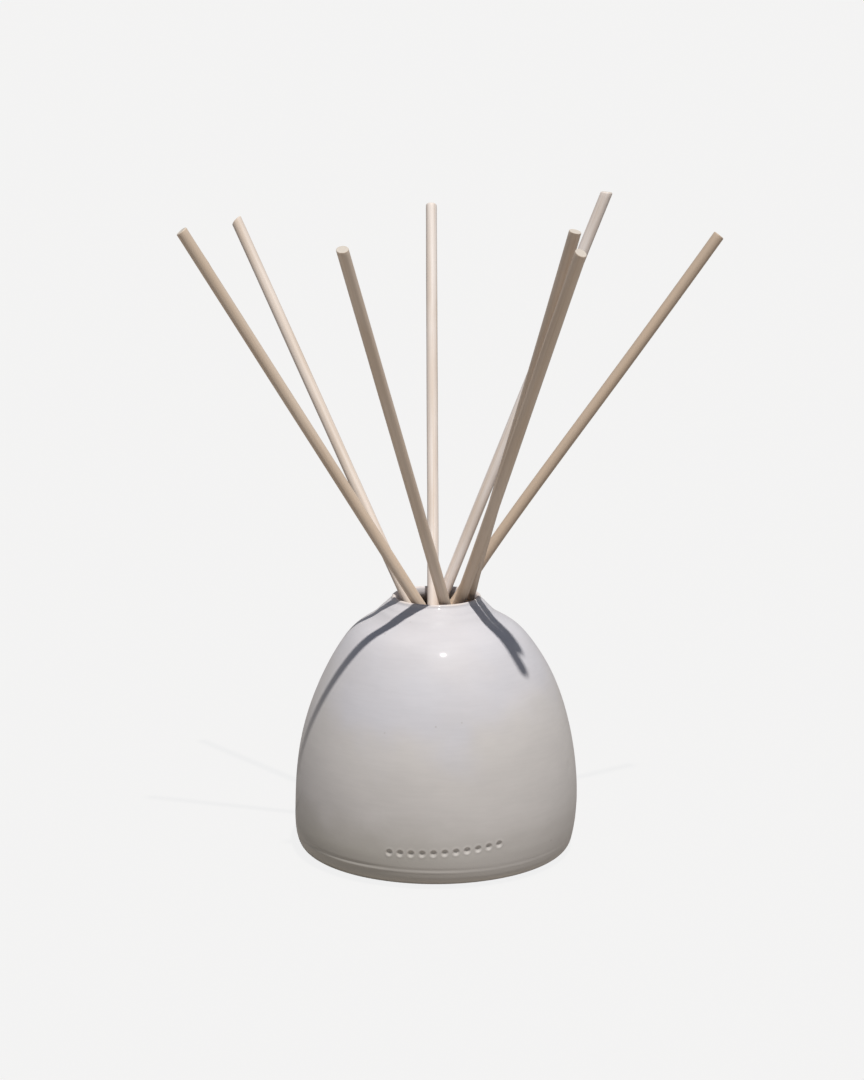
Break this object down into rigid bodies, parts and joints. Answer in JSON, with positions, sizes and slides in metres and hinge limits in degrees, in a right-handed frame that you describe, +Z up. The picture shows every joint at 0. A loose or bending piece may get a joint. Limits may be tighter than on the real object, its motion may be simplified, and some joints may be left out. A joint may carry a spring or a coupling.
{
  "type": "reed diffuser",
  "caption": "Dome-shaped glazed ceramic vessel with a narrow open mouth, holding scented oil and loose round wooden reeds that fan out of it.",
  "frame": {"origin": "centre of the vessel's foot, on the surface it stands on", "axes": "+Z up along the vessel's turning axis; -Y towards the side where the impressed dots are"},
  "size_m": [0.1829, 0.155, 0.2279],
  "materials": {
    "glaze": "gloss",
    "oil": "gloss",
    "reed_wood": "matte"
  },
  "bodies": {
    "pot": {"vessel_base": "glaze", "vessel_shoulder": "glaze", "fragrance_oil": "oil"},
    "reed_1": {"reed_1": "reed_wood"},
    "reed_2": {"reed_2": "reed_wood"},
    "reed_3": {"reed_3": "reed_wood"},
    "reed_4": {"reed_4": "reed_wood"},
    "reed_5": {"reed_5": "reed_wood"},
    "reed_6": {"reed_6": "reed_wood"},
    "reed_7": {"reed_7": "reed_wood"},
    "reed_8": {"reed_8": "reed_wood"}
  },
  "joints": [
    {"name": "reed_1_lift", "type": "slide", "parent": "pot", "child": "reed_1", "axis": [-0.508, -0.12, 0.8529], "range_m": [0, 0.095]},
    {"name": "reed_2_lift", "type": "slide", "parent": "pot", "child": "reed_2", "axis": [-0.4096, 0.3419, 0.8458], "range_m": [0, 0.1]},
    {"name": "reed_3_lift", "type": "slide", "parent": "pot", "child": "reed_3", "axis": [-0.0032, 0.4705, 0.8824], "range_m": [0, 0.105]},
    {"name": "reed_4_lift", "type": "slide", "parent": "pot", "child": "reed_4", "axis": [-0.2137, -0.4561, 0.8639], "range_m": [0, 0.1]},
    {"name": "reed_5_lift", "type": "slide", "parent": "pot", "child": "reed_5", "axis": [0.2043, -0.4603, 0.8639], "range_m": [0, 0.09]},
    {"name": "reed_6_lift", "type": "slide", "parent": "pot", "child": "reed_6", "axis": [0.2402, -0.4758, 0.8461], "range_m": [0, 0.095]},
    {"name": "reed_7_lift", "type": "slide", "parent": "pot", "child": "reed_7", "axis": [0.3701, 0.0549, 0.9274], "range_m": [0, 0.1]},
    {"name": "reed_8_lift", "type": "slide", "parent": "pot", "child": "reed_8", "axis": [0.5786, 0.0718, 0.8124], "range_m": [0, 0.1]}
  ]
}
